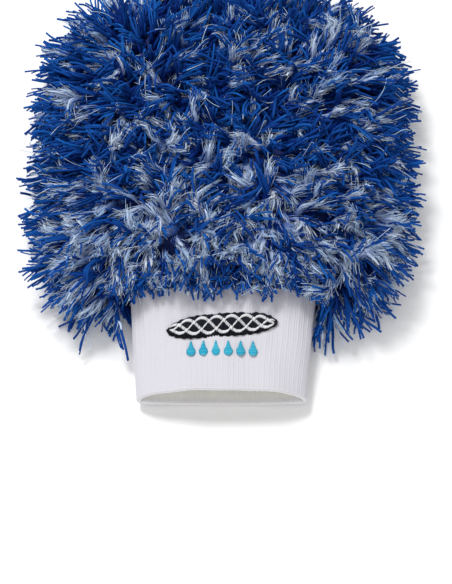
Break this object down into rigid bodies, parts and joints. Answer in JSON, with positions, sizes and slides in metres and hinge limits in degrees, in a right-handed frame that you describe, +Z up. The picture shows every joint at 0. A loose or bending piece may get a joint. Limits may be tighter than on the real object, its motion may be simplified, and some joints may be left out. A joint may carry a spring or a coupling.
{
  "type": "wash mitt",
  "caption": "Long-pile wash mitt for cleaning vehicles: a rounded, shaggy, lined pocket for the hand with a folded rib-knit cuff at the wrist and a small embroidered emblem.",
  "frame": {"origin": "middle of the mitt's footprint (its outline from pile tip to pile tip, cuff included), on the surface that it lies on", "axes": "+Z up, through the back of the hand; +Y from the cuff towards the fingertips; +X to the right when looking from the cuff towards the fingertips"},
  "size_m": [0.214, 0.262, 0.054],
  "materials": {
    "pile_back": "matte",
    "pile_palm": "matte",
    "ground_cloth": "matte",
    "lining": "matte",
    "rib_knit": "matte",
    "seam_thread": "matte",
    "thread_dark": "satin",
    "thread_light": "satin",
    "thread_blue": "satin",
    "stabiliser": "matte"
  },
  "bodies": {
    "root": {"back_panel_pile": "pile_back", "palm_panel_pile": "pile_palm", "back_panel_ground_cloth": "ground_cloth", "palm_panel_ground_cloth": "ground_cloth", "perimeter_overlock_seam": "seam_thread", "back_lining": "lining", "palm_lining": "lining", "rib_knit_cuff": "rib_knit", "cuff_join_overlock_seam": "seam_thread", "cuff_side_seam_stitches": "seam_thread", "emblem_field": "thread_dark", "emblem_braid": "thread_light", "emblem_drops": "thread_blue", "emblem_stabiliser": "stabiliser"}
  },
  "joints": []
}
